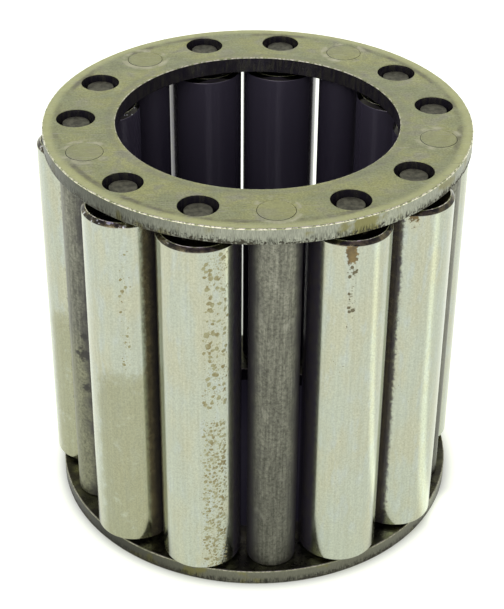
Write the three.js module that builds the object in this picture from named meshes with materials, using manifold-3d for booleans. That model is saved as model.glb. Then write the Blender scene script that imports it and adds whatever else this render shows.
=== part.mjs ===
// Cage-and-roller bearing: two flat end rings tied by riveted spacer bars, and
// solid rollers whose end trunnions turn in holes of both rings.
// Millimetres. +Z is the bearing axis. The origin is on that axis, in the
// outer face of the lower ring.

import * as THREE from "three";
import { mergeVertices } from "three/addons/utils/BufferGeometryUtils.js";
import Module from "manifold-3d";

// Roller set
const rollerDiameter = 12.7;
const rollerLength = 61.0;
const rollerChamfer = 0.65;
const trunnionDiameter = 4.3;
const trunnionRecess = 0.05; // the lower trunnion ends this far inside the ring's outer face
const trunnionClearance = 0.92; // radial, in the ring's hole
const rollersPerGroup = 2;
const rollerGap = 0.35; // between neighbouring rollers of one group

// Cage
const groupCount = 5;
const ringThickness = 2.65;
const ringRimInset = 1.19; // the rim stays this far inside the outer envelope
const ringRimChamfer = 0.25;
const shaftClearance = 0.15; // the ring's bore stays clear of the shaft
const barDiameter = 7.94;
const barGap = 0.976; // between a bar and the roller beside it
const tenonDiameter = 5.5;
const tenonClearance = 0.12; // radial, in the ring's hole
const shoulderClearance = 0.05; // between a bar's shoulder and the ring
const lowerPlay = 0.1; // axial, under a roller's end face
const upperPlay = 0.85; // axial, over a roller's end face

// Flat sides of the round shapes, in multiples of four so that each has a corner on X and Y
const rimSides = 96;
const boreSides = 72;
const holeSides = 20;
const rollerSides = 32;
const barSides = 24;

const pitchSearchSteps = 80;

const rollerRadius = rollerDiameter / 2;
const barRadius = barDiameter / 2;
const trunnionLength = lowerPlay + ringThickness - trunnionRecess;
const ringSpacing = lowerPlay + rollerLength + upperPlay; // between the rings' inner faces
const overallHeight = ringSpacing + 2 * ringThickness;

const steel = { color: 0x8f9180, roughness: 0.45, metalness: 0.9 };
const groundSteel = { color: 0xc4c6bd, roughness: 0.22, metalness: 1.0 };
const rolledSteel = { color: 0x62625c, roughness: 0.6, metalness: 0.85 };

// The angle at the bearing axis between two pieces whose centres are this far apart.
function angleAcross(centreDistance, pitchRadius) {
  return 2 * Math.asin(centreDistance / (2 * pitchRadius));
}

const rollerStep = rollerDiameter + rollerGap;
const barStep = rollerRadius + barRadius + barGap;

// The angle that one group of rollers takes with its bar, at a given pitch radius.
function groupAngle(pitchRadius) {
  const rollers = (rollersPerGroup - 1) * angleAcross(rollerStep, pitchRadius);
  return rollers + 2 * angleAcross(barStep, pitchRadius);
}

// The pitch radius at which all the groups close the circle.
function solvePitchRadius() {
  let low = Math.max(rollerStep, barStep) / 2;
  let high = groupCount * rollersPerGroup * (rollerStep + barStep);
  for (let i = 0; i < pitchSearchSteps; i++) {
    const middle = (low + high) / 2;
    if (groupAngle(middle) > (2 * Math.PI) / groupCount) low = middle;
    else high = middle;
  }
  return high;
}

const pitchRadius = solvePitchRadius();
const outerEnvelope = pitchRadius + rollerRadius;
const innerEnvelope = pitchRadius - rollerRadius;
const rimRadius = outerEnvelope - ringRimInset;
const boreRadius = innerEnvelope + shaftClearance;

const firstBarAngle = -Math.PI / 2; // a bar stands on the -Y side
const groupStep = (2 * Math.PI) / groupCount;

// The bars' angles about the bearing axis.
function barAngles() {
  return Array.from({ length: groupCount }, (_, i) => firstBarAngle + i * groupStep);
}

// The rollers' angles, each group starting one bar step after its bar.
function rollerAngles() {
  const barToRoller = angleAcross(barStep, pitchRadius);
  const rollerToRoller = angleAcross(rollerStep, pitchRadius);
  const angles = [];
  for (const bar of barAngles())
    for (let i = 0; i < rollersPerGroup; i++)
      angles.push(bar + barToRoller + i * rollerToRoller);
  return angles;
}

// A point on the pitch circle.
function onPitchCircle(angle, z) {
  const x = pitchRadius * Math.cos(angle);
  const y = pitchRadius * Math.sin(angle);
  return new THREE.Vector3(x, y, z);
}

// A body turned about +Z, from [radius, z] pairs that start and end on the axis.
function turned(profile, sides) {
  const points = profile.map(([radius, z]) => new THREE.Vector2(radius, z));
  return new THREE.LatheGeometry(points, sides).rotateX(Math.PI / 2);
}

const wasm = await Module();
wasm.setup();

function toSolid(geometry) {
  const bare = geometry.clone();
  bare.deleteAttribute("normal");
  bare.deleteAttribute("uv");
  const merged = mergeVertices(bare);
  const vertProperties = merged.attributes.position.array;
  const triVerts = new Uint32Array(merged.index.array);
  return new wasm.Manifold(new wasm.Mesh({ numProp: 3, vertProperties, triVerts }));
}

function toGeometry(solid) {
  const mesh = solid.getMesh();
  const geometry = new THREE.BufferGeometry();
  geometry.setAttribute("position", new THREE.BufferAttribute(mesh.vertProperties, 3));
  geometry.setIndex(new THREE.BufferAttribute(mesh.triVerts, 1));
  geometry.computeVertexNormals();
  return geometry;
}

// A cutter that passes through a ring standing on z = 0.
function throughCutter(radius, sides, place) {
  const low = -ringThickness;
  const high = 2 * ringThickness;
  const profile = [[0, low], [radius, low], [radius, high], [0, high]];
  return toSolid(turned(profile, sides).translate(place.x, place.y, 0));
}

// An end ring standing on z = 0, with its shaft bore, trunnion holes and tenon holes.
function endRing() {
  const shoulder = rimRadius - ringRimChamfer;
  const disc = turned([
    [0, 0],
    [shoulder, 0],
    [rimRadius, ringRimChamfer],
    [rimRadius, ringThickness - ringRimChamfer],
    [shoulder, ringThickness],
    [0, ringThickness],
  ], rimSides);
  const trunnionHole = trunnionDiameter / 2 + trunnionClearance;
  const tenonHole = tenonDiameter / 2 + tenonClearance;
  let ring = toSolid(disc).subtract(throughCutter(boreRadius, boreSides, new THREE.Vector3()));
  for (const angle of rollerAngles())
    ring = ring.subtract(throughCutter(trunnionHole, holeSides, onPitchCircle(angle, 0)));
  for (const angle of barAngles())
    ring = ring.subtract(throughCutter(tenonHole, holeSides, onPitchCircle(angle, 0)));
  return toGeometry(ring);
}

// A spacer bar with its tenons flush with the rings' outer faces.
function spacerBar() {
  const tenonRadius = tenonDiameter / 2;
  const lowShoulder = ringThickness + shoulderClearance;
  const highShoulder = overallHeight - lowShoulder;
  return turned([
    [0, 0],
    [tenonRadius, 0],
    [tenonRadius, lowShoulder],
    [barRadius, lowShoulder],
    [barRadius, highShoulder],
    [tenonRadius, highShoulder],
    [tenonRadius, overallHeight],
    [0, overallHeight],
  ], barSides);
}

// A roller with a trunnion on each end, standing on its lower end face at z = 0.
function roller() {
  const trunnionRadius = trunnionDiameter / 2;
  const face = rollerRadius - rollerChamfer;
  return turned([
    [0, -trunnionLength],
    [trunnionRadius, -trunnionLength],
    [trunnionRadius, 0],
    [face, 0],
    [rollerRadius, rollerChamfer],
    [rollerRadius, rollerLength - rollerChamfer],
    [face, rollerLength],
    [trunnionRadius, rollerLength],
    [trunnionRadius, rollerLength + trunnionLength],
    [0, rollerLength + trunnionLength],
  ], rollerSides);
}

const bearing = new THREE.Group();

function addPiece(name, geometry, finish, place) {
  const mesh = new THREE.Mesh(geometry, new THREE.MeshStandardMaterial(finish));
  mesh.name = name;
  mesh.position.copy(place);
  bearing.add(mesh);
}

addPiece("lower_end_ring", endRing(), steel, new THREE.Vector3(0, 0, 0));
addPiece("upper_end_ring", endRing(), steel, new THREE.Vector3(0, 0, ringThickness + ringSpacing));

barAngles().forEach((angle, i) => {
  addPiece(`spacer_bar_${i + 1}`, spacerBar(), rolledSteel, onPitchCircle(angle, 0));
});

rollerAngles().forEach((angle, i) => {
  const number = String(i + 1).padStart(2, "0");
  const place = onPitchCircle(angle, ringThickness + lowerPlay);
  addPiece(`roller_${number}`, roller(), groundSteel, place);
});

export default bearing;
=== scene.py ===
"""Looks for a loose cage-and-roller bearing, laid out as a Blender add-on.

Two punched end rings, tied by riveted spacer bars, carry ground steel rollers
on their end trunnions. Every size and place comes from the fixed frame, in
metres, with +Z along the bearing's axis.
"""

import math

import bpy
from mathutils import Euler, Matrix, Vector


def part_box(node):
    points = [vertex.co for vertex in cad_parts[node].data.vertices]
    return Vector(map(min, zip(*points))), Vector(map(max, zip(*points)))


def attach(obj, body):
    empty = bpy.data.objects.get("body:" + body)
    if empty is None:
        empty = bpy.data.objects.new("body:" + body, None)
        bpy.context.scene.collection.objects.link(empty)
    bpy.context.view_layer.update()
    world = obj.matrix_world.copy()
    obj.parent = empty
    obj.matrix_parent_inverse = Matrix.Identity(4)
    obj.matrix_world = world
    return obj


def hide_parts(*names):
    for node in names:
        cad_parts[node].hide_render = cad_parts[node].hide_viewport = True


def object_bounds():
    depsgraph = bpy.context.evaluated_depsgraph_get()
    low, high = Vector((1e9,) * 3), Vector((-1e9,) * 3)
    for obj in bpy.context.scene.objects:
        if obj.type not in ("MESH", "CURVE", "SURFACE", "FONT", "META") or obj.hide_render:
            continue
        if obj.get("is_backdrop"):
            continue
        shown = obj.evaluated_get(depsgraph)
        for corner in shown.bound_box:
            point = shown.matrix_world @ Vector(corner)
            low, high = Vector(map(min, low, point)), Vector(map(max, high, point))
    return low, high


bl_info = {
    "name": "Cage and Roller Bearing",
    "version": (1, 0, 0),
    "blender": (4, 5, 0),
    "location": "3D View > Sidebar > Bearing",
    "description": "Builds a loose cage-and-roller bearing with worn, oily steel finishes",
    "category": "Add Mesh",
}

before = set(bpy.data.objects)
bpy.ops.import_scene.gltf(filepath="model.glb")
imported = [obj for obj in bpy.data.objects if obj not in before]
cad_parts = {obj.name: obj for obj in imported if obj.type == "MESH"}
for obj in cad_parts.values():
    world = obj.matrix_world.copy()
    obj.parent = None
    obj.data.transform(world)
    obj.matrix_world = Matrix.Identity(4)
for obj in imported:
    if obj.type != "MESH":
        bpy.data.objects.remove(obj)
CAD_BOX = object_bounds()

MM = 0.001
RINGS = ("lower_end_ring", "upper_end_ring")
BARS = sorted(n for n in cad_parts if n.startswith("spacer_bar"))
ROLLERS = sorted(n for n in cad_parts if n.startswith("roller"))


# ---------------------------------------------------------------- measuring


def centre_of(node):
    """The middle of a node's box."""
    low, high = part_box(node)
    return (low + high) / 2


def reach(node, about, nearest=False):
    """The largest or smallest distance of a node's corners from a vertical axis."""
    corners = (v.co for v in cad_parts[node].data.vertices)
    distances = [math.hypot(c.x - about.x, c.y - about.y) for c in corners]
    return min(distances) if nearest else max(distances)


def turned_profile(node):
    """The (height, radius) steps of a turned node, from its foot to its top."""
    centre = centre_of(node)
    steps = {}
    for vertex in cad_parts[node].data.vertices:
        height = round(vertex.co.z, 6)
        radius = math.hypot(vertex.co.x - centre.x, vertex.co.y - centre.y)
        steps.setdefault(height, set()).add(round(radius, 6))
    return [(z, sorted(r for r in radii if r > 0)) for z, radii in sorted(steps.items())]


AXIS = Vector((0, 0, 0))
RIM_RADIUS = -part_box(RINGS[1])[0].y
BORE_RADIUS = reach(RINGS[1], AXIS, nearest=True)
TRUNNION_HOLE = reach(RINGS[1], centre_of(ROLLERS[0]), nearest=True)
TENON_HOLE = reach(RINGS[1], centre_of(BARS[0]), nearest=True)
PITCH_RADIUS = math.hypot(*centre_of(ROLLERS[0]).xy)
BAR_RADIUS = reach(BARS[0], centre_of(BARS[0]))
UPPER_RING_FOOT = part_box(RINGS[1])[0].z
# Heights between the two rings, at which a finish changes from one to the other.
OVER_LOWER_RING = (3 * MM, 5 * MM)
UNDER_UPPER_RING = (30 * MM, 40 * MM)


# --------------------------------------------------------------- properties


class CageSizes(bpy.types.PropertyGroup):
    """Edge sizes and smoothness of the rings and bars."""

    rim_rounding: bpy.props.FloatProperty(
        name="Rim rounding", description="Radius of the rolled edge round each ring's rim",
        default=0.18 * MM, unit="LENGTH")
    hole_rounding: bpy.props.FloatProperty(
        name="Hole rounding", description="Radius of the edges round the small holes",
        default=0.08 * MM, unit="LENGTH")
    bore_rounding: bpy.props.FloatProperty(
        name="Bore rounding", description="Radius of the edges round the bore",
        default=0.13 * MM, unit="LENGTH")
    tenon_rounding: bpy.props.FloatProperty(
        name="Tenon rounding", description="Radius round the end of each riveted tenon",
        default=0.04 * MM, unit="LENGTH")
    rivet_gap: bpy.props.FloatProperty(
        name="Rivet gap", description="Gap that riveting leaves between a tenon and its hole",
        default=0.05 * MM, unit="LENGTH")
    bar_rounding: bpy.props.FloatProperty(
        name="Bar rounding", description="Radius of the edge round each bar's shoulder",
        default=0.2 * MM, unit="LENGTH")
    rim_sides: bpy.props.IntProperty(
        name="Rim sides", description="Flat sides round each ring's rim and bore", default=256)
    hole_sides: bpy.props.IntProperty(
        name="Hole sides", description="Flat sides round each hole and tenon", default=64)


class RollerSizes(bpy.types.PropertyGroup):
    """Edge sizes and smoothness of the rollers."""

    edge_rounding: bpy.props.FloatProperty(
        name="Edge rounding", description="Radius of the edges beside each chamfer",
        default=0.1 * MM, unit="LENGTH")
    trunnion_rounding: bpy.props.FloatProperty(
        name="Trunnion rounding", description="Radius round the end of each trunnion",
        default=0.3 * MM, unit="LENGTH")
    sides: bpy.props.IntProperty(
        name="Sides", description="Flat sides round each roller", default=128)


class FinishColours(bpy.types.PropertyGroup):
    """Base colours of the steel surfaces."""

    plate: bpy.props.FloatVectorProperty(
        name="Plate", description="Oily brushed plate of the rings' faces",
        default=(0.40, 0.43, 0.225), size=3, subtype="COLOR")
    punched: bpy.props.FloatVectorProperty(
        name="Punched edge", description="Sheared edge of the rings",
        default=(0.235, 0.24, 0.20), size=3, subtype="COLOR")
    ground: bpy.props.FloatVectorProperty(
        name="Ground steel", description="Ground running surface of the rollers",
        default=(0.385, 0.405, 0.345), size=3, subtype="COLOR")
    oiled: bpy.props.FloatVectorProperty(
        name="Oiled ends", description="Dark oily ends of the rollers",
        default=(0.09, 0.085, 0.07), size=3, subtype="COLOR")
    rolled: bpy.props.FloatVectorProperty(
        name="Rolled steel", description="Dark rolled skin of the spacer bars",
        default=(0.142, 0.140, 0.115), size=3, subtype="COLOR")
    rust: bpy.props.FloatVectorProperty(
        name="Rust", description="Brown rust spots",
        default=(0.215, 0.18, 0.085), size=3, subtype="COLOR")


class StageSettings(bpy.types.PropertyGroup):
    """Camera, floor and lights."""

    lens: bpy.props.FloatProperty(
        name="Lens", description="Focal length in millimetres", default=96.9)
    distance: bpy.props.FloatProperty(
        name="Camera distance", description="Level distance from the bearing's axis",
        default=230.7 * MM, unit="LENGTH")
    height: bpy.props.FloatProperty(
        name="Camera height", description="Height over the upper ring's face",
        default=118.2 * MM, unit="LENGTH")
    sideways: bpy.props.FloatProperty(
        name="Camera sideways", description="Sideways shift of the camera",
        default=2.33 * MM, unit="LENGTH")
    heading: bpy.props.FloatProperty(
        name="Camera heading", description="Turn of the camera round the bearing's axis",
        default=math.radians(-6.23), unit="ROTATION")
    aim: bpy.props.FloatVectorProperty(
        name="Camera aim", description="Tilt, roll and turn of the camera before its heading",
        default=[math.radians(a) for a in (56.40, -0.39, 1.00)], size=3, unit="ROTATION")
    # The heading of a painted pool of light on the floor.
    painted_pool_heading: bpy.props.FloatProperty(
        name="Pool heading", description="Direction of the brightest light across the floor",
        default=math.radians(-30), unit="ROTATION")
    floor_size: bpy.props.FloatProperty(
        name="Floor size", description="Side of the square floor", default=4.0, unit="LENGTH")


GROUPS = {
    "bearing_cage": CageSizes,
    "bearing_rollers": RollerSizes,
    "bearing_finish": FinishColours,
    "bearing_stage": StageSettings,
}


# ------------------------------------------------------------------ finishes


class Finish:
    """A surface finish: a material whose nodes are added one named step at a time."""

    def __init__(self, name, metallic=1.0, roughness=0.4):
        self.material = bpy.data.materials.new(name)
        self.material.use_nodes = True
        self.tree = self.material.node_tree
        self.shader = self.tree.nodes["Principled BSDF"]
        self.shader.inputs["Metallic"].default_value = metallic
        self.shader.inputs["Roughness"].default_value = roughness
        self.place = self.tree.nodes.new("ShaderNodeTexCoord").outputs["Object"]

    def add(self, kind, inputs, **settings):
        """Adds a node, sets its settings, and links or sets its inputs."""
        node = self.tree.nodes.new("ShaderNode" + kind)
        for key, value in settings.items():
            setattr(node, key, value)
        for key, value in inputs.items():
            if isinstance(value, bpy.types.NodeSocket):
                self.tree.links.new(value, node.inputs[key])
            else:
                node.inputs[key].default_value = value
        return node

    def use(self, name, value):
        """Feeds an input of the surface shader."""
        if isinstance(value, bpy.types.NodeSocket):
            self.tree.links.new(value, self.shader.inputs[name])
        else:
            self.shader.inputs[name].default_value = value

    def stretched(self, stretch, turn=(0, 0, 0)):
        """The place in the frame, with each direction scaled and turned."""
        inputs = {"Vector": self.place, "Scale": stretch, "Rotation": turn}
        return self.add("Mapping", inputs).outputs["Vector"]

    def noise(self, size, detail=4.0, roughness=0.5, place=None):
        """Cloudy noise whose blotches are about the given size across."""
        inputs = {"Vector": place or self.place, "Scale": 1 / size, "Detail": detail,
                  "Roughness": roughness}
        return self.add("TexNoise", inputs).outputs["Fac"]

    def cells(self, size):
        """Distance to the nearest of scattered points, about the given size apart."""
        inputs = {"Vector": self.place, "Scale": 1 / size}
        return self.add("TexVoronoi", inputs).outputs["Distance"]

    def fade(self, value, start, end, low=0.0, high=1.0, smooth=True):
        """Maps a value from start..end to low..high, eased at both ends or straight."""
        inputs = {"Value": value, "From Min": start, "From Max": end, "To Min": low, "To Max": high}
        kind = "SMOOTHSTEP" if smooth else "LINEAR"
        return self.add("MapRange", inputs, interpolation_type=kind).outputs["Result"]

    def maths(self, operation, a, b=0.0):
        """The result of a sum on one or two values."""
        return self.add("Math", {0: a, 1: b}, operation=operation).outputs[0]

    def product(self, a, b):
        """One value times another."""
        return self.maths("MULTIPLY", a, b)

    def strongest(self, masks):
        """The largest of several masks."""
        result = masks[0]
        for mask in masks[1:]:
            result = self.maths("MAXIMUM", result, mask)
        return result

    def blend(self, factor, a, b, mode="MIX"):
        """Mixes two colours."""
        rgba = [c if isinstance(c, bpy.types.NodeSocket) else (*c, 1.0) for c in (a, b)]
        node = self.add("Mix", {}, data_type="RGBA", blend_type=mode)
        for socket, value in ((node.inputs[0], factor), (node.inputs[6], rgba[0]),
                              (node.inputs[7], rgba[1])):
            if isinstance(value, bpy.types.NodeSocket):
                self.tree.links.new(value, socket)
            else:
                socket.default_value = value
        return node.outputs[2]

    def axis_distance(self, centre=AXIS):
        """Distance from a vertical axis."""
        inputs = {0: self.stretched(stretch=(1, 1, 0)), 1: (centre.x, centre.y, 0)}
        return self.add("VectorMath", inputs, operation="DISTANCE").outputs["Value"]

    def nearest_axis(self, centres):
        """Distance from the nearest of several vertical axes."""
        nearest = self.axis_distance(centres[0])
        for centre in centres[1:]:
            nearest = self.maths("MINIMUM", nearest, self.axis_distance(centre))
        return nearest

    def across(self):
        """The x of the place."""
        return self.add("SeparateXYZ", {"Vector": self.place}).outputs["X"]

    def height(self):
        """The z of the place."""
        return self.add("SeparateXYZ", {"Vector": self.place}).outputs["Z"]

    def relief(self, height, depth, strength=1.0, under=None):
        """A bump of the given depth in metres, over an earlier one."""
        inputs = {"Height": height, "Distance": depth, "Strength": strength}
        if under:
            inputs["Normal"] = under
        return self.add("Bump", inputs).outputs["Normal"]


def scaled(colour, amount):
    """A colour made darker or lighter."""
    return tuple(c * amount for c in colour)


def toward(facing, distance):
    """A level step of a given length, toward an angle in degrees."""
    angle = math.radians(facing)
    return distance * Vector((math.cos(angle), math.sin(angle), 0))


def plate_tone(finish, colours):
    """Olive-grey plate colour with oily clouds, cool patches and fine speckle."""
    plate = tuple(colours.plate)
    clouds = finish.fade(finish.noise(6 * MM, detail=4, roughness=0.6), 0.38, 0.62)
    tone = finish.blend(clouds, scaled(plate, 0.88), (0.44, 0.455, 0.19))
    cool = finish.fade(finish.noise(3 * MM, detail=3), 0.5, 0.7, high=0.6)
    tone = finish.blend(cool, tone, (0.37, 0.375, 0.285))
    speckle = finish.fade(finish.noise(0.3 * MM, detail=4, roughness=0.7), 0.3, 0.7, 0.78, 1.22)
    return finish.blend(1.0, tone, speckle, mode="MULTIPLY")


def scratches(finish, turn, size, sparse):
    """Fine straight scratches, all turned one way, as a 0 to 1 mask."""
    place = finish.stretched(stretch=(0.06, 1, 1), turn=(0, 0, turn))
    lines = finish.noise(size, detail=2, roughness=0.5, place=place)
    return finish.fade(lines, sparse, sparse + 0.06)


def ring_mask(finish, distance, radius, width):
    """A ring of a given radius and width, from a distance to its middle."""
    off = finish.maths("ABSOLUTE", finish.maths("SUBTRACT", distance, radius))
    return finish.fade(off, width, 0.25 * width)


def rubbed_rings(finish, tone):
    """A lighter band by the rim, a broken dark line inside it, and a faint one by the bore."""
    radius = finish.axis_distance()
    worn_radius = 0.938 * RIM_RADIUS
    rubbed = finish.fade(radius, worn_radius, 0.98 * RIM_RADIUS, high=0.8)
    tone = finish.blend(rubbed, tone, (0.60, 0.625, 0.30))
    broken = finish.fade(finish.noise(6 * MM, detail=3), 0.40, 0.60)
    line = finish.product(ring_mask(finish, radius, worn_radius, 0.7 * MM), broken)
    tone = finish.blend(finish.product(line, 0.75), tone, (0.19, 0.185, 0.12))
    inner = ring_mask(finish, radius, BORE_RADIUS + 1.1 * MM, 0.8 * MM)
    return finish.blend(finish.product(inner, 0.3), tone, (0.27, 0.275, 0.20))


def tenon_halos(finish, tone):
    """Patchy light halos round the riveted tenons, whose own ends are a little greener."""
    from_tenon = finish.nearest_axis([centre_of(b) for b in BARS])
    patchy = finish.fade(finish.noise(2 * MM, detail=5), 0.44, 0.62)
    halo = ring_mask(finish, from_tenon, TENON_HOLE + 0.5 * MM, 0.8 * MM)
    tone = finish.blend(finish.product(halo, patchy), tone, (0.55, 0.55, 0.34))
    on_tenon = finish.fade(from_tenon, TENON_HOLE, 0.8 * TENON_HOLE, high=0.5)
    return finish.blend(on_tenon, tone, (0.42, 0.43, 0.20))


def face_plate(colours):
    """The rings' outer faces: rubbed, scratched plate with halos at the tenons."""
    finish = Finish("face_plate", roughness=0.42)
    tone = tenon_halos(finish, rubbed_rings(finish, plate_tone(finish, colours)))
    marks = finish.strongest([scratches(finish, turn=0.5, size=0.16 * MM, sparse=0.64),
                              scratches(finish, turn=-0.9, size=0.14 * MM, sparse=0.66)])
    tone = finish.blend(finish.product(marks, 0.45), tone, (0.62, 0.62, 0.47))
    scores = scratches(finish, turn=1.9, size=0.2 * MM, sparse=0.66)
    tone = finish.blend(finish.product(scores, 0.5), tone, (0.17, 0.17, 0.12))
    finish.use("Base Color", tone)
    wear = finish.noise(1.5 * MM, detail=5, roughness=0.65)
    finish.use("Roughness", finish.fade(wear, 0.3, 0.7, 0.36, 0.50))
    grain = finish.relief(finish.noise(0.3 * MM, detail=4, roughness=0.7), 0.02 * MM, 0.35)
    finish.use("Normal", finish.relief(finish.maths("ADD", marks, scores), -0.02 * MM, 0.5, grain))
    return finish.material


def inner_plate(colours):
    """The rings' inner faces: the same plate, painted dark as painted shade between the rings."""
    finish = Finish("inner_plate", roughness=0.32)
    tone = plate_tone(finish, colours)
    # Painted shade: most of each face between the rings is painted near black.
    oily = finish.fade(finish.noise(2.5 * MM, detail=4), 0.3, 0.6, 0.55, 0.9)
    finish.use("Base Color", finish.blend(oily, tone, (0.05, 0.047, 0.04)))
    wear = finish.noise(0.8 * MM, detail=5, roughness=0.6)
    finish.use("Roughness", finish.fade(wear, 0.3, 0.7, 0.24, 0.42))
    finish.use("Normal", finish.relief(wear, 0.03 * MM, 0.4))
    return finish.material


def worn_edge(colours):
    """The rolled edges, rubbed bright in broken streaks."""
    finish = Finish("worn_edge", roughness=0.3)
    rubbed = finish.fade(finish.noise(0.8 * MM, detail=6, roughness=0.75), 0.46, 0.53)
    tone = finish.blend(rubbed, scaled(tuple(colours.plate), 0.8), (0.86, 0.83, 0.62))
    # Darker low down, at the height of the lower ring.
    oily = finish.fade(finish.height(), *reversed(OVER_LOWER_RING), high=0.75)
    finish.use("Base Color", finish.blend(oily, tone, (0.14, 0.135, 0.10)))
    finish.use("Roughness", finish.fade(rubbed, 0, 1, 0.45, 0.28))
    nicks = finish.noise(0.25 * MM, detail=5, roughness=0.7)
    finish.use("Normal", finish.relief(nicks, 0.08 * MM, 0.9))
    return finish.material


# The angle that the rim's largest oil stain faces, in degrees.
RIM_STAIN_FACING = -68


def rim_stains(finish, height):
    """Scattered oil stains on both rims, and the largest one on the upper rim."""
    scattered = finish.fade(finish.noise(4 * MM, detail=4), 0.55, 0.66, high=0.8)
    spread = finish.fade(finish.noise(1.5 * MM, detail=4), 0.3, 0.7, -1.2 * MM, 1.2 * MM)
    away = finish.axis_distance(toward(RIM_STAIN_FACING, RIM_RADIUS))
    near = finish.fade(finish.maths("ADD", away, spread), 3 * MM, 1.2 * MM, high=0.85)
    upper = finish.fade(height, *UNDER_UPPER_RING)
    return finish.strongest([scattered, finish.product(near, upper)])


def torn_foot(finish, over_foot):
    """Dark torn pits, thickest along the foot of each rim."""
    torn = finish.product(finish.fade(over_foot, 1.3 * MM, 0.35 * MM),
                          finish.fade(finish.noise(14 * MM, detail=2), 0.4, 0.6, 0.14, 0.24))
    blots = finish.noise(0.4 * MM, detail=4, roughness=0.65)
    return finish.fade(finish.maths("ADD", blots, torn), 0.67, 0.72)


def punched_edge(colours):
    """The sheared rims: upright grain, a rough torn foot, oil stains, and painted shade on the left.
    """
    finish = Finish("punched_edge", roughness=0.42)
    punched = tuple(colours.punched)
    upright = finish.stretched(stretch=(1, 1, 0.16))
    grain = finish.noise(0.15 * MM, detail=6, roughness=0.7, place=upright)
    tone = finish.blend(finish.fade(grain, 0.35, 0.65), scaled(punched, 0.78), scaled(punched, 1.22))
    height = finish.height()
    over_foot = finish.maths("MODULO", height, UPPER_RING_FOOT)
    low_ring = finish.fade(height, *reversed(OVER_LOWER_RING), high=0.75)
    tone = finish.blend(low_ring, tone, (0.09, 0.086, 0.065))
    tone = finish.blend(rim_stains(finish, height), tone, (0.155, 0.143, 0.052))
    rough = finish.noise(0.28 * MM, detail=5, roughness=0.7, place=upright)
    fracture = finish.blend(finish.fade(over_foot, 1.5 * MM, 0.8 * MM), (1, 1, 1),
                            finish.fade(rough, 0.35, 0.6, 0.30, 1.15))
    tone = finish.blend(1.0, tone, fracture, mode="MULTIPLY")
    # Painted shade: the rim is darker toward the left.
    shade = finish.fade(finish.across(), -27 * MM, -6 * MM, 0.35, 1.10)
    tone = finish.blend(1.0, tone, shade, mode="MULTIPLY")
    pits = torn_foot(finish, over_foot)
    finish.use("Base Color", finish.blend(pits, tone, (0.07, 0.065, 0.05)))
    finish.use("Roughness", finish.fade(pits, 0, 1, 0.40, 0.7))
    skin = finish.relief(grain, 0.04 * MM, 0.45)
    finish.use("Normal", finish.relief(pits, -0.08 * MM, 0.7, skin))
    return finish.material


def bore_edge(colours):
    """The walls of the bore and the holes: smooth, and painted nearly black in navy and brown as
    painted shade.
    """
    finish = Finish("bore_edge", metallic=0.7, roughness=0.2)
    grain = finish.noise(0.5 * MM, detail=5, place=finish.stretched(stretch=(1, 1, 0.2)))
    browned = scaled(tuple(colours.oiled), 1.1)
    # Painted shade: a near-black navy and brown for the walls inside the bore and holes.
    tone = finish.blend(finish.fade(grain, 0.35, 0.7), (0.05, 0.043, 0.062), browned)
    finish.use("Base Color", tone)
    finish.use("Roughness", finish.fade(grain, 0.3, 0.7, 0.16, 0.26))
    finish.use("Normal", finish.relief(grain, 0.03 * MM, 0.4))
    return finish.material


def facing_mask(finish, piece, facing, half_width, soft):
    """The side of a round piece that faces an angle, as a 0 to 1 mask with soft edges."""
    low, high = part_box(piece)
    radius = (high.x - low.x) / 2
    side = centre_of(piece) + toward(facing, radius)
    far = 2 * radius * math.sin(math.radians(half_width + soft) / 2)
    near = 2 * radius * math.sin(math.radians(max(half_width - soft, 0)) / 2)
    return finish.fade(finish.axis_distance(side), far, near)


def height_mask(finish, low, high, soft=0.05):
    """A band between two shares of the rollers' height, with soft edges."""
    foot, top = (corner.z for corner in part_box(ROLLERS[0]))
    height = finish.fade(finish.height(), foot, top, smooth=False)
    over = finish.fade(height, low - soft, low + soft)
    under = finish.fade(height, high + soft, high - soft)
    return finish.product(over, under)


# All the angles below are in degrees, and all the heights are shares of a piece's height.
# Roller, angle that the patch faces, half its width, its foot and top, and how densely
# it is spotted.
RUST_PATCHES = (
    ("roller_10", 286, 22, -0.10, 0.52, 0.90),
    ("roller_10", 289, 22, 0.50, 0.98, 0.82),
    ("roller_09", 264, 11, 0.55, 0.92, 0.74),
    ("roller_01", 267, 8, 0.70, 0.93, 0.85),
    ("roller_02", 225, 12, 0.60, 0.98, 0.80),
)
# Roller, facing, half width, foot and top of the smears of brown film on the unshaded side.
SMEARS = (
    ("roller_01", 265, 8, 0.90, 0.98),
    ("roller_02", 262, 9, 0.93, 1.10),
)
# Roller and facing of the flanks where the painted shade is brown with rust near its edge.
BROWN_FLANKS = (("roller_09", 318), ("roller_02", 208))
# Nearer the bearing axis than this, the rollers' sides are painted in shade; where they stand
# proudest they are left unshaded.
SHADE_EDGE_RADIUS = PITCH_RADIUS + 2.95 * MM
# The spread of an edge in degrees, where a spotted or smeared side ends.
PATCH_EDGE = 9
# The roller whose spots are dark pits, and the angle that they face.
PITTED = ("roller_01", 267)
# Roller, facing, and the height up to which old film has turned it tan.
TAN_PATCHES = (("roller_09", 262, 0.565), ("roller_08", 250, 0.52))
# The bar whose lower half is tan, and the angle that its tan side faces.
TAN_BAR = ("spacer_bar_5", 225)
# Bar, facing, height and radius in millimetres of the dark smudges of old grease.
SMUDGES = (
    ("spacer_bar_5", 245, 0.48, 1.4),
    ("spacer_bar_5", 246, 0.38, 0.9),
    ("spacer_bar_5", 247, 0.53, 0.7),
    ("spacer_bar_5", 226, 0.48, 0.6),
)


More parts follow.
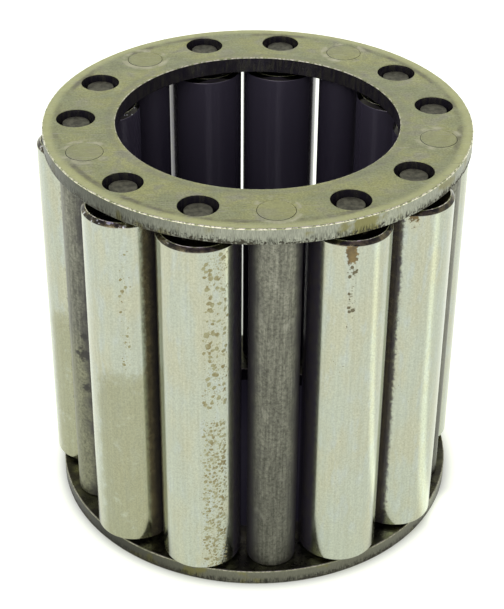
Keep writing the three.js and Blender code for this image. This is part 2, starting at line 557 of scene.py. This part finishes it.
def rust_mask(finish):
    """Rounded rust spots, dense in the patches and very sparse elsewhere."""
    patches = finish.strongest([
        finish.product(finish.product(facing_mask(finish, roller, facing, half_width, PATCH_EDGE),
                                      height_mask(finish, low, high)), dense)
        for roller, facing, half_width, low, high, dense in RUST_PATCHES])
    uneven = finish.fade(finish.noise(0.9 * MM, detail=3, roughness=0.6), 0.25, 0.75, -0.25, 0.25,
                         smooth=False)
    reach_out = finish.maths("ADD", finish.fade(patches, 0, 1, -0.34, 0.56, smooth=False), uneven)
    upper = finish.fade(finish.height(), 30 * MM, 38 * MM)
    lower = finish.maths("SUBTRACT", 1.0, upper)
    mixed = finish.maths("ADD", finish.product(upper, finish.cells(1.0 * MM)),
                         finish.product(lower, finish.cells(0.55 * MM)))
    spots = finish.fade(finish.maths("SUBTRACT", reach_out, mixed), 0.0, 0.08)
    small = finish.maths("SUBTRACT", reach_out, finish.cells(0.42 * MM))
    return finish.strongest([spots, finish.fade(small, 0.03, 0.14, high=0.55)])


def side_shade_mask(finish):
    """Painted shade on the sides of the rollers turned toward the bore and each other, with a ragged
    edge.
    """
    ragged = finish.noise(0.7 * MM, detail=5, roughness=0.7)
    radius = finish.maths("ADD", finish.axis_distance(),
                          finish.fade(ragged, 0.2, 0.8, -0.5 * MM, 0.5 * MM, smooth=False))
    return finish.fade(radius, SHADE_EDGE_RADIUS + 0.1 * MM, SHADE_EDGE_RADIUS - 0.5 * MM)


def smear_mask(finish):
    """A few ragged smears of film on the unshaded sides."""
    ragged = finish.noise(0.7 * MM, detail=5, roughness=0.7)
    smears = finish.strongest([
        finish.product(facing_mask(finish, roller, facing, half_width, PATCH_EDGE),
                       height_mask(finish, low, high))
        for roller, facing, half_width, low, high in SMEARS])
    uneven = finish.maths("ADD", smears, finish.fade(ragged, 0.2, 0.8, -0.4, 0.4, smooth=False))
    return finish.fade(uneven, 0.46, 0.56)


def tanned(finish, tone):
    """Old film that has turned the foot of some rollers tan, up to a ragged edge."""
    ragged = finish.fade(finish.noise(2 * MM, detail=5, roughness=0.65), 0.2, 0.8, -0.5, 0.5)
    low = finish.strongest([
        finish.product(facing_mask(finish, roller, facing, half_width=50, soft=14),
                       height_mask(finish, -0.3, high, soft=0.06))
        for roller, facing, high in TAN_PATCHES])
    tan = finish.fade(finish.maths("ADD", low, ragged), 0.25, 0.9, high=0.75)
    return finish.blend(finish.product(tan, low), tone, (0.265, 0.26, 0.168))


def unshaded_tone(finish, colours):
    """The unshaded sides of the rollers: faintly tinted, finely streaked and speckled."""
    upright = finish.stretched(stretch=(1, 1, 0.3))
    tint = finish.fade(finish.noise(3.5 * MM, detail=4, place=upright), 0.4, 0.65, high=0.7)
    tone = finish.blend(tint, tuple(colours.ground), (0.40, 0.39, 0.295))
    cool = finish.fade(finish.noise(1.4 * MM, detail=4, place=upright), 0.5, 0.7, high=0.65)
    tone = tanned(finish, finish.blend(cool, tone, (0.395, 0.425, 0.405)))
    streak = finish.noise(0.35 * MM, detail=3, roughness=0.6,
                          place=finish.stretched(stretch=(1, 1, 0.02)))
    tone = finish.blend(1.0, tone, finish.fade(streak, 0.3, 0.7, 0.95, 1.04), mode="MULTIPLY")
    speckle = finish.noise(0.3 * MM, detail=4, roughness=0.7)
    tone = finish.blend(1.0, tone, finish.fade(speckle, 0.3, 0.7, 0.88, 1.10), mode="MULTIPLY")
    crowd = finish.fade(finish.noise(7 * MM, detail=3), 0.45, 0.65, 0.74, 0.66)
    specks = finish.fade(finish.maths("SUBTRACT", finish.noise(0.3 * MM, detail=3), crowd), 0, 0.02)
    return finish.blend(finish.product(specks, 0.6), tone, (0.15, 0.14, 0.09))


def side_shade_tone(finish, browned, bore_shade):
    """The painted shade: brown with rust on the rusty flanks, and a painted navy shade where it faces
    the bore.
    """
    # Painted shade: near-black navy and brown for the sides turned toward the neighbouring rollers.
    dark = finish.blend(browned, (0.060, 0.052, 0.078), (0.088, 0.078, 0.074))
    flanks = finish.strongest([facing_mask(finish, roller, facing, half_width=34, soft=10)
                               for roller, facing in BROWN_FLANKS])
    edge = finish.fade(finish.axis_distance(), SHADE_EDGE_RADIUS - 3 * MM, SHADE_EDGE_RADIUS - 0.5 * MM)
    brown = finish.blend(browned, (0.11, 0.098, 0.065), (0.19, 0.165, 0.10))
    dark = finish.blend(finish.product(edge, flanks), dark, brown)
    # Painted shade: a navy tint where the side faces the bore.
    return finish.blend(bore_shade, dark, (0.094, 0.083, 0.118))


def rust_tone(finish, colours):
    """Patchy brown rust, darker on the pitted roller."""
    patchy = finish.fade(finish.noise(1.3 * MM, detail=5), 0.4, 0.65)
    rusty = finish.blend(patchy, (0.29, 0.28, 0.165), tuple(colours.rust))
    pitted = facing_mask(finish, *PITTED, half_width=20, soft=PATCH_EDGE)
    return finish.blend(pitted, rusty, (0.12, 0.105, 0.062))


def ground_steel(colours):
    """The rollers' running surface: fine-ground steel with rust spots, smears, and painted shade on
    the sides turned away from the outside.
    """
    finish = Finish("ground_steel", roughness=0.15)
    # film is the painted shade on the sides turned toward the bore and the neighbouring rollers.
    film, smears, rust = side_shade_mask(finish), smear_mask(finish), rust_mask(finish)
    browned = finish.fade(finish.noise(1.2 * MM, detail=5, roughness=0.6), 0.35, 0.7)
    # Painted shade: the side that faces the bore.
    bore_shade = finish.fade(finish.axis_distance(), PITCH_RADIUS - 0.5 * MM, PITCH_RADIUS - 3 * MM)
    tone = finish.blend(film, unshaded_tone(finish, colours), side_shade_tone(finish, browned, bore_shade))
    smeared = finish.blend(browned, (0.20, 0.14, 0.055), (0.10, 0.075, 0.04))
    tone = finish.blend(smears, tone, smeared)
    finish.use("Base Color", finish.blend(rust, tone, rust_tone(finish, colours)))
    rust = finish.product(rust, finish.maths("SUBTRACT", 1.0, film))
    spoilt = finish.strongest([finish.product(film, 0.6), rust, smears, bore_shade])
    finish.use("Metallic", finish.fade(spoilt, 0, 1, 1.0, 0.55))
    smooth = finish.fade(finish.noise(0.8 * MM, detail=5, roughness=0.7), 0.3, 0.7, 0.13, 0.19)
    dulled = finish.product(spoilt, finish.fade(film, 0, 1, 0.55, 0.25))
    finish.use("Roughness", finish.strongest([smooth, dulled]))
    lines = finish.noise(0.12 * MM, detail=3, place=finish.stretched(stretch=(0.03, 0.03, 1)))
    ground_lines = finish.relief(lines, 0.003 * MM, 0.4)
    finish.use("Normal", finish.relief(rust, 0.03 * MM, 0.5, under=ground_lines))
    return finish.material


def oiled_steel(colours):
    """Roller end faces and chamfers: dark and glossy under oil, painted darker as painted shade
    nearer the bearing's axis, with a few painted glints on the left.
    """
    finish = Finish("oiled_steel", roughness=0.2)
    oiled = tuple(colours.oiled)
    clouds = finish.noise(1.4 * MM, detail=5, roughness=0.6)
    tone = finish.blend(finish.fade(clouds, 0.4, 0.66), scaled(oiled, 0.5), (0.17, 0.145, 0.08))
    # Painted shade: the ends are darker nearer the bearing's axis.
    outward = finish.fade(finish.axis_distance(), PITCH_RADIUS + 1 * MM, PITCH_RADIUS + 5 * MM)
    tone = finish.blend(outward, scaled(oiled, 0.35), tone)
    # Painted highlight: bright glints painted only on the left, where the light falls.
    glints = finish.fade(finish.noise(0.7 * MM, detail=4, roughness=0.6), 0.56, 0.66, high=0.8)
    lit = finish.fade(finish.across(), -12 * MM, -20 * MM)
    finish.use("Base Color", finish.blend(finish.product(glints, lit), tone, (0.75, 0.78, 0.80)))
    finish.use("Roughness", finish.fade(clouds, 0.3, 0.7, 0.10, 0.26))
    finish.use("Normal", finish.relief(clouds, 0.05 * MM, 0.6))
    return finish.material


def trunnion_end(colours):
    """Trunnion ends: dull olive-grey, wiped clean by the hole."""
    finish = Finish("trunnion_end", roughness=0.45)
    clouds = finish.noise(0.9 * MM, detail=5, roughness=0.65)
    tone = finish.blend(finish.fade(clouds, 0.35, 0.65), (0.075, 0.075, 0.048), (0.165, 0.165, 0.105))
    finish.use("Base Color", tone)
    finish.use("Normal", finish.relief(clouds, 0.03 * MM, 0.5))
    return finish.material


def smudge_mask(finish):
    """Soft dark smudges of old grease on the bars."""
    ragged = finish.fade(finish.noise(0.7 * MM, detail=4, roughness=0.7), 0.2, 0.8, -0.6, 0.6)
    masks = []
    for bar, facing, share, radius in SMUDGES:
        low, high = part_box(bar)
        point = centre_of(bar) + toward(facing, BAR_RADIUS)
        point.z = low.z + share * (high.z - low.z)
        inputs = {0: finish.place, 1: point}
        away = finish.add("VectorMath", inputs, operation="DISTANCE").outputs["Value"]
        reached = finish.maths("ADD", finish.product(away, 1 / (radius * MM)), ragged)
        masks.append(finish.fade(reached, 1.2, 0.5, high=0.85))
    return finish.strongest(masks)


def rolled_tone(finish, colours, streaks, shade):
    """The bars' skin: streaked, mottled, rubbed lighter in places and darker toward the foot."""
    rolled = tuple(colours.rolled)
    tone = finish.blend(finish.fade(streaks, 0.3, 0.7), scaled(rolled, 0.68), scaled(rolled, 1.3))
    tone = finish.blend(1.0, tone, shade, mode="MULTIPLY")
    rubbed = finish.noise(2.2 * MM, detail=6, roughness=0.7,
                          place=finish.stretched(stretch=(1, 1, 0.45)))
    tone = finish.blend(finish.fade(rubbed, 0.56, 0.72, high=0.7), tone, (0.27, 0.265, 0.225))
    foot, top = (corner.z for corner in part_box(BARS[0]))
    upward = finish.fade(finish.height(), foot, top, 0.60, 1.12)
    return finish.blend(1.0, tone, upward, mode="MULTIPLY")


def rolled_steel(colours):
    """Spacer bars: dark rolled skin, finely pitted, and painted near black as painted shade except
    where they face outward.
    """
    finish = Finish("rolled_steel", metallic=0.9, roughness=0.45)
    streaks = finish.noise(0.45 * MM, detail=5, roughness=0.65,
                           place=finish.stretched(stretch=(1, 1, 0.06)))
    mottle = finish.noise(0.5 * MM, detail=6, roughness=0.75)
    shade = finish.fade(mottle, 0.3, 0.7, 0.55, 1.5)
    pits = finish.fade(finish.noise(0.3 * MM, detail=3, roughness=0.6), 0.64, 0.70)
    tone = rolled_tone(finish, colours, streaks, shade)
    tone = finish.blend(finish.product(pits, 0.7), tone, (0.035, 0.032, 0.025))
    tan = finish.product(facing_mask(finish, *TAN_BAR, half_width=70, soft=20),
                         finish.fade(finish.height(), 40 * MM, 28 * MM, high=0.6))
    tone = finish.blend(tan, tone, finish.blend(1.0, (0.225, 0.225, 0.145), shade, mode="MULTIPLY"))
    # Painted shade: the bar is painted near black on its sides, away from where it faces outward.
    wander = finish.fade(finish.noise(2.5 * MM, detail=4), 0.3, 0.7, -0.35 * MM, 0.35 * MM)
    outward = finish.fade(finish.maths("ADD", finish.axis_distance(), wander),
                          PITCH_RADIUS + 1.6 * MM, PITCH_RADIUS + 3.75 * MM)
    tone = finish.blend(outward, (0.036, 0.033, 0.036), tone)
    tone = finish.blend(smudge_mask(finish), tone, (0.03, 0.027, 0.028))
    # Painted shade: navy where the bar faces the bore.
    bore_shade = finish.fade(finish.axis_distance(), PITCH_RADIUS, PITCH_RADIUS - 2.5 * MM)
    finish.use("Base Color", finish.blend(bore_shade, tone, (0.05, 0.043, 0.066)))
    finish.use("Metallic", finish.fade(outward, 0, 1, 0.4, 0.9, smooth=False))
    finish.use("Roughness", finish.fade(mottle, 0.3, 0.7, 0.36, 0.52))
    skin = finish.relief(streaks, 0.02 * MM, 0.5)
    finish.use("Normal", finish.relief(pits, -0.04 * MM, 0.5, skin))
    return finish.material


FINISHES = {
    "face_plate": face_plate,
    "inner_plate": inner_plate,
    "worn_edge": worn_edge,
    "punched_edge": punched_edge,
    "bore_edge": bore_edge,
    "ground_steel": ground_steel,
    "oiled_steel": oiled_steel,
    "trunnion_end": trunnion_end,
    "rolled_steel": rolled_steel,
}


def finish_named(name):
    """The named finish, made when it is first used."""
    if name in bpy.data.materials:
        return bpy.data.materials[name]
    return FINISHES[name](bpy.context.scene.bearing_finish)


# ----------------------------------------------------------------- modelling


def clear_selection():
    """Leaves edit mode and selects nothing."""
    if bpy.context.object and bpy.context.object.mode == "EDIT":
        bpy.ops.object.mode_set(mode="OBJECT")
    bpy.ops.object.select_all(action="DESELECT")


# Edges and faces that meet at less than this angle are shaded smooth and not rounded.
SHARP_ANGLE = math.radians(40)
# Two heights or radii closer than this are taken as the same.
NEAR = 0.01 * MM

SELECT_MODES = {
    "edges": (False, True, False),
    "polygons": (False, False, True),
}


def choose(kind, test):
    """Selects the active mesh's edges or polygons that pass a test, in edit mode."""
    bpy.ops.object.mode_set(mode="EDIT")
    bpy.ops.mesh.select_all(action="DESELECT")
    bpy.ops.object.mode_set(mode="OBJECT")
    bpy.context.tool_settings.mesh_select_mode = SELECT_MODES[kind]
    for element in getattr(bpy.context.object.data, kind):
        element.select = test(element)
    bpy.ops.object.mode_set(mode="EDIT")


def edge_middle(edge):
    """The middle of an edge of the active mesh."""
    corners = bpy.context.object.data.vertices
    return (corners[edge.vertices[0]].co + corners[edge.vertices[1]].co) / 2


def round_edges(radius, test, segments=3):
    """Rounds the sharp edges of the active mesh whose middle passes a test."""
    bpy.ops.object.mode_set(mode="EDIT")
    bpy.context.tool_settings.mesh_select_mode = SELECT_MODES["edges"]
    bpy.ops.mesh.select_all(action="DESELECT")
    bpy.ops.mesh.edges_select_sharp(sharpness=SHARP_ANGLE)
    bpy.ops.object.mode_set(mode="OBJECT")
    sharp = {e.index for e in bpy.context.object.data.edges if e.select}
    choose("edges", lambda e: e.index in sharp and test(edge_middle(e)))
    bpy.ops.mesh.bevel(offset=radius, segments=segments, affect="EDGES", clamp_overlap=True)
    bpy.ops.object.mode_set(mode="OBJECT")


def paint(names, pick):
    """Gives the active piece its finishes, and each face the one that pick names."""
    mesh = bpy.context.object.data
    for name in names:
        mesh.materials.append(finish_named(name))
    for face in mesh.polygons:
        face.material_index = names.index(pick(face))


def copies(nodes):
    """Copies the active piece of the first node to the others, each with its own mesh.

    Each piece in turn is the active one while its node is handed out, the first one last.
    """
    first = bpy.context.object
    for node in reversed(nodes):
        clear_selection()
        first.select_set(True)
        bpy.context.view_layer.objects.active = first
        if node != nodes[0]:
            bpy.ops.object.duplicate(linked=False)
            bpy.ops.transform.translate(value=centre_of(node) - centre_of(nodes[0]))
            bpy.ops.object.transform_apply(location=True)
        yield node


def complete(node, body):
    """Smooths the active piece, puts its place in its mesh, and ties it to the frame."""
    piece = bpy.context.object
    piece.name = piece.data.name = "fine_" + node
    bpy.ops.object.transform_apply(location=True, rotation=True, scale=True)
    bpy.ops.object.shade_smooth_by_angle(angle=SHARP_ANGLE)
    bpy.ops.object.modifier_add(type="WEIGHTED_NORMAL")
    piece.modifiers[-1].keep_sharp = True
    bpy.ops.object.modifier_apply(modifier=piece.modifiers[-1].name)
    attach(piece, body)
    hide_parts(node)


class BEARING_OT_end_rings(bpy.types.Operator):
    """Make both end rings with their bores and holes"""

    bl_idname = "bearing.end_rings"
    bl_label = "End Rings"
    # How far the rolled edges of the bore and of the rim reach into the faces.
    bore_margin = 0.2 * MM
    rim_margin = 0.5 * MM

    def execute(self, context):
        self.model(context.scene.bearing_cage, RINGS[0])
        for node in copies(RINGS):
            low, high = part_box(node)
            self.paint_faces(low.z, high.z)
            complete(node, "cage")
        return {"FINISHED"}

    def model(self, sizes, node):
        """A filled outline raised to the ring's thickness, with its sharp edges rounded."""
        low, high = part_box(node)
        clear_selection()
        self.outline(sizes, low.z)
        bpy.ops.mesh.select_all(action="SELECT")
        bpy.ops.mesh.fill(use_beauty=True)
        bpy.ops.mesh.select_all(action="SELECT")
        rise = {"value": (0, 0, high.z - low.z)}
        bpy.ops.mesh.extrude_region_move(TRANSFORM_OT_translate=rise)
        bpy.ops.mesh.select_all(action="SELECT")
        bpy.ops.mesh.normals_make_consistent(inside=False)
        between = (RIM_RADIUS + PITCH_RADIUS + TRUNNION_HOLE) / 2
        round_edges(sizes.rim_rounding, lambda m: m.xy.length > between, segments=5)
        round_edges(sizes.hole_rounding,
                    lambda m: BORE_RADIUS + self.bore_margin < m.xy.length < between)
        round_edges(sizes.bore_rounding, lambda m: m.xy.length < BORE_RADIUS + self.bore_margin)

    def outline(self, sizes, height):
        """Draws the rim, the bore and every hole as circles at one height."""
        rim, hole = sizes.rim_sides, sizes.hole_sides
        bpy.ops.mesh.primitive_circle_add(vertices=rim, radius=RIM_RADIUS, location=(0, 0, height))
        bpy.ops.object.transform_apply(location=True)
        bpy.ops.object.mode_set(mode="EDIT")
        bpy.ops.mesh.primitive_circle_add(vertices=rim, radius=BORE_RADIUS, location=(0, 0, height))
        for nodes, radius in ((ROLLERS, TRUNNION_HOLE), (BARS, TENON_HOLE)):
            for centre in map(centre_of, nodes):
                place = (centre.x, centre.y, height)
                bpy.ops.mesh.primitive_circle_add(vertices=hole, radius=radius, location=place)

    def paint_faces(self, low, high):
        """Painted shade on the inner faces, rubbed on top, sheared round the rim, and painted black
        as painted shade in the bore and holes.
        """
        names = ["face_plate", "inner_plate", "worn_edge", "punched_edge", "bore_edge"]
        outer = high if high > CAD_BOX[1].z / 2 else low

        def pick(face):
            out = face.center.xy.length
            if abs(face.normal.z) > 0.99:
                return "face_plate" if abs(face.center.z - outer) < NEAR else "inner_plate"
            at_rim = out > RIM_RADIUS - self.rim_margin
            if face.normal.z > 0.05:
                at_hole = BORE_RADIUS + self.bore_margin < out and not at_rim
                return "face_plate" if at_hole else "worn_edge"
            return "punched_edge" if at_rim else "bore_edge"

        paint(names, pick)


class BEARING_OT_spacer_bars(bpy.types.Operator):
    """Make the spacer bars with their riveted tenons"""

    bl_idname = "bearing.spacer_bars"
    bl_label = "Spacer Bars"

    def execute(self, context):
        self.model(context.scene.bearing_cage, BARS[0])
        for node in copies(BARS):
            low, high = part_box(node)
            self.paint_faces(low.z, high.z)
            complete(node, "cage")
        return {"FINISHED"}

    def model(self, sizes, node):
        """A round bar, with a narrower tenon drawn out of each end."""
        centre = centre_of(node)
        profile = turned_profile(node)
        foot, shoulder, top_shoulder, top = (profile[i][0] for i in (0, 1, -2, -1))
        tenon, radius = TENON_HOLE - sizes.rivet_gap, profile[1][1][-1]
        clear_selection()
        bpy.ops.mesh.primitive_cylinder_add(
            vertices=sizes.hole_sides, radius=radius, depth=top_shoulder - shoulder,
            location=(centre.x, centre.y, (shoulder + top_shoulder) / 2))
        bpy.ops.object.transform_apply(location=True)
        for up, end in ((1, top - top_shoulder), (-1, shoulder - foot)):
            choose("polygons", lambda f: f.normal.z * up > 0.9)
            bpy.ops.mesh.inset(thickness=radius - tenon)
            bpy.ops.mesh.extrude_region_move(TRANSFORM_OT_translate={"value": (0, 0, up * end)})
        on_tenon = (radius + tenon) / 2
        round_edges(sizes.bar_rounding, lambda m: (m - centre).xy.length > on_tenon)
        ends = (foot, top)
        round_edges(sizes.tenon_rounding,
                    lambda m: min(abs(m.z - end) for end in ends) < sizes.tenon_rounding, 2)

    def paint_faces(self, foot, top):
        """Rolled skin, with the tenons' ends finished like the rings' faces."""

        def pick(face):
            at_end = min(abs(face.center.z - foot), abs(face.center.z - top)) < 2 * NEAR
            return "face_plate" if at_end else "rolled_steel"

        paint(["rolled_steel", "face_plate"], pick)


class BEARING_OT_rollers(bpy.types.Operator):
    """Make the chamfered rollers with their trunnions"""

    bl_idname = "bearing.rollers"
    bl_label = "Rollers"
    # How far the rounded edges of a chamfer reach into the faces beside it.
    edge_margin = 0.06 * MM

    def execute(self, context):
        self.model(context.scene.bearing_rollers, ROLLERS[0])
        for node in copies(ROLLERS):
            self.paint_faces(node)
            complete(node, node)
        return {"FINISHED"}

    def model(self, sizes, node):
        """A chamfered cylinder, with a trunnion drawn out of each end."""
        centre = centre_of(node)
        profile = turned_profile(node)
        trunnion, face_radius, radius = profile[0][1][-1], profile[1][1][-1], profile[2][1][-1]
        foot, low_face, high_face, top = (profile[i][0] for i in (0, 1, -2, -1))
        clear_selection()
        bpy.ops.mesh.primitive_cylinder_add(
            vertices=sizes.sides, radius=radius, depth=high_face - low_face,
            location=(centre.x, centre.y, (low_face + high_face) / 2))
        bpy.ops.object.transform_apply(location=True)
        round_edges(radius - face_radius, lambda m: True, segments=1)
        for up, end in ((1, top - high_face), (-1, low_face - foot)):
            choose("polygons", lambda f: f.normal.z * up > 0.9)
            bpy.ops.mesh.inset(thickness=face_radius - trunnion)
            bpy.ops.mesh.extrude_region_move(TRANSFORM_OT_translate={"value": (0, 0, up * end)})
        bpy.ops.object.mode_set(mode="OBJECT")
        bpy.ops.object.modifier_add(type="BEVEL")
        bevel = bpy.context.object.modifiers[-1]
        bevel.width, bevel.segments = sizes.edge_rounding, 3
        bevel.limit_method, bevel.angle_limit = "ANGLE", math.radians(30)
        bpy.ops.object.modifier_apply(modifier=bevel.name)
        at_end = (high_face + top) / 2 - centre.z
        round_edges(sizes.trunnion_rounding, lambda m: abs(m.z - centre.z) > at_end)

    def paint_faces(self, node):
        """Ground sides, rubbed edges, oily end faces and worn trunnions."""
        centre = centre_of(node)
        trunnion, end_face, radius = (radii[-1] for _, radii in turned_profile(node)[:3])

        def pick(face):
            out = (face.center - centre).xy.length
            if out > radius - self.edge_margin and abs(face.normal.z) < 0.4:
                return "ground_steel"
            if abs(out - end_face) < self.edge_margin:
                return "worn_edge"
            return "trunnion_end" if out < trunnion + NEAR else "oiled_steel"

        paint(["ground_steel", "oiled_steel", "trunnion_end", "worn_edge"], pick)


# --------------------------------------------------------------------- stage


# The rise of a direction, from 0 when level to 1 when upright, and the colour seen there.
SURROUNDINGS = ((0.45, (1.0, 1.0, 1.0)), (0.85, (0.20, 0.17, 0.30)), (0.93, (0.55, 0.47, 0.85)))


def add_light(name, place, aim, width, height, power):
    """A soft light of a given width and height at a place, aimed at a point."""
    bpy.ops.object.light_add(type="AREA", location=place)
    light = bpy.context.object
    light.name = name
    light.data.shape, light.data.energy = "RECTANGLE", power
    light.data.size, light.data.size_y = width, height
    light.rotation_euler = (Vector(aim) - Vector(place)).to_track_quat("-Z", "Y").to_euler()


class BEARING_OT_stage(bpy.types.Operator):
    """Set up the pale floor, the soft light and the camera"""

    bl_idname = "bearing.stage"
    bl_label = "Stage"

    def execute(self, context):
        clear_selection()
        settings = context.scene.bearing_stage
        self.floor(settings)
        self.surroundings(context)
        self.lights()
        self.camera(context, settings)
        context.scene.view_settings.view_transform = "Standard"
        return {"FINISHED"}

    def floor(self, settings):
        """A white floor with painted light: it glows round the bearing, more in a painted pool of
        light, and is painted dim under it as a painted shadow.
        """
        bpy.ops.mesh.primitive_plane_add(size=settings.floor_size, location=(0, 0, CAD_BOX[0].z))
        floor = bpy.context.object
        floor.name = "floor"
        paper = Finish("pale_paper", metallic=0.0, roughness=1.0)
        radius = paper.axis_distance()
        # Painted shadow: the floor's colour is dark under the bearing and pale beyond its rim.
        paper.use("Base Color", paper.fade(radius, 0.9 * RIM_RADIUS, 1.05 * RIM_RADIUS, 0.12, 0.8))
        paper.use("Specular IOR Level", 0.0)
        paper.use("Emission Color", (0.93, 1.0, 0.75, 1))
        # Painted light: the floor's glow is off under the bearing, rises beyond its rim, and is
        # stronger in a painted pool toward the pool's heading.
        glow = paper.fade(radius, 0.94 * RIM_RADIUS, 1.1 * RIM_RADIUS, high=0.85)
        split = paper.add("SeparateXYZ", {0: paper.place})
        heading = paper.maths("ARCTAN2", split.outputs["Y"], split.outputs["X"])
        off = paper.maths("ABSOLUTE", paper.maths("SUBTRACT", heading, settings.painted_pool_heading))
        paper.use("Emission Strength", paper.product(glow, paper.fade(off, 0.17, 0.03, 1.0, 1.8)))
        floor.data.materials.append(paper.material)
        floor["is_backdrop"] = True

    def surroundings(self, context):
        """Surroundings that are white level with the floor and darker overhead."""
        world = context.scene.world or bpy.data.worlds.new("surroundings")
        context.scene.world = world
        world.use_nodes = True
        nodes, links = world.node_tree.nodes, world.node_tree.links
        nodes.clear()
        direction = nodes.new("ShaderNodeTexCoord").outputs["Generated"]
        split = nodes.new("ShaderNodeSeparateXYZ")
        ramp = nodes.new("ShaderNodeValToRGB")
        background = nodes.new("ShaderNodeBackground")
        output = nodes.new("ShaderNodeOutputWorld")
        steps = ramp.color_ramp.elements
        steps.new(1.0)
        for step, (rise, colour) in zip(steps, SURROUNDINGS):
            step.position, step.color = rise, (*colour, 1)
        links.new(direction, split.inputs[0])
        links.new(split.outputs["Z"], ramp.inputs[0])
        links.new(ramp.outputs["Color"], background.inputs["Color"])
        links.new(background.outputs[0], output.inputs["Surface"])

    def lights(self):
        """One wide soft light over the front, a little to the left."""
        middle = (CAD_BOX[0] + CAD_BOX[1]) / 2
        add_light("front_left", (-0.30, -0.65, 0.62), middle, width=0.9, height=0.2, power=2.3)

    def camera(self, context, settings):
        """The camera, set at its height and distance and then turned round the bearing."""
        bpy.ops.object.camera_add()
        camera = bpy.context.object
        camera.data.lens, camera.data.sensor_width = settings.lens, 36
        camera.data.clip_start, camera.data.clip_end = 0.01, 20
        eye = Vector((settings.sideways, -settings.distance, CAD_BOX[1].z + settings.height))
        turn = Matrix.Rotation(settings.heading, 4, "Z")
        aim = Euler(settings.aim, "XYZ").to_matrix().to_4x4()
        camera.matrix_world = turn @ Matrix.Translation(eye) @ aim
        context.scene.camera = camera


OPERATORS = (
    BEARING_OT_end_rings,
    BEARING_OT_spacer_bars,
    BEARING_OT_rollers,
    BEARING_OT_stage,
)


class BEARING_PT_build(bpy.types.Panel):
    """Lists the steps that build the bearing"""

    bl_idname = "BEARING_PT_build"
    bl_label = "Bearing"
    bl_space_type = "VIEW_3D"
    bl_region_type = "UI"
    bl_category = "Bearing"

    def draw(self, context):
        layout = self.layout
        for operator in OPERATORS:
            layout.operator(operator.bl_idname)
        for name, group in GROUPS.items():
            box = layout.box()
            for key in group.__annotations__:
                box.prop(getattr(context.scene, name), key)


CLASSES = (*GROUPS.values(), *OPERATORS, BEARING_PT_build)


def register():
    for cls in CLASSES:
        bpy.utils.register_class(cls)
    for name, group in GROUPS.items():
        setattr(bpy.types.Scene, name, bpy.props.PointerProperty(type=group))


def unregister():
    for name in GROUPS:
        delattr(bpy.types.Scene, name)
    for cls in reversed(CLASSES):
        bpy.utils.unregister_class(cls)


def main():
    """Builds every piece and the stage."""
    register()
    bpy.ops.bearing.end_rings()
    bpy.ops.bearing.spacer_bars()
    bpy.ops.bearing.rollers()
    bpy.ops.bearing.stage()
    boxes = {"cad": CAD_BOX, "visual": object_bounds()}
    {name: [list(corner) for corner in box] for name, box in boxes.items()}


if __name__ == "__main__":
    main()
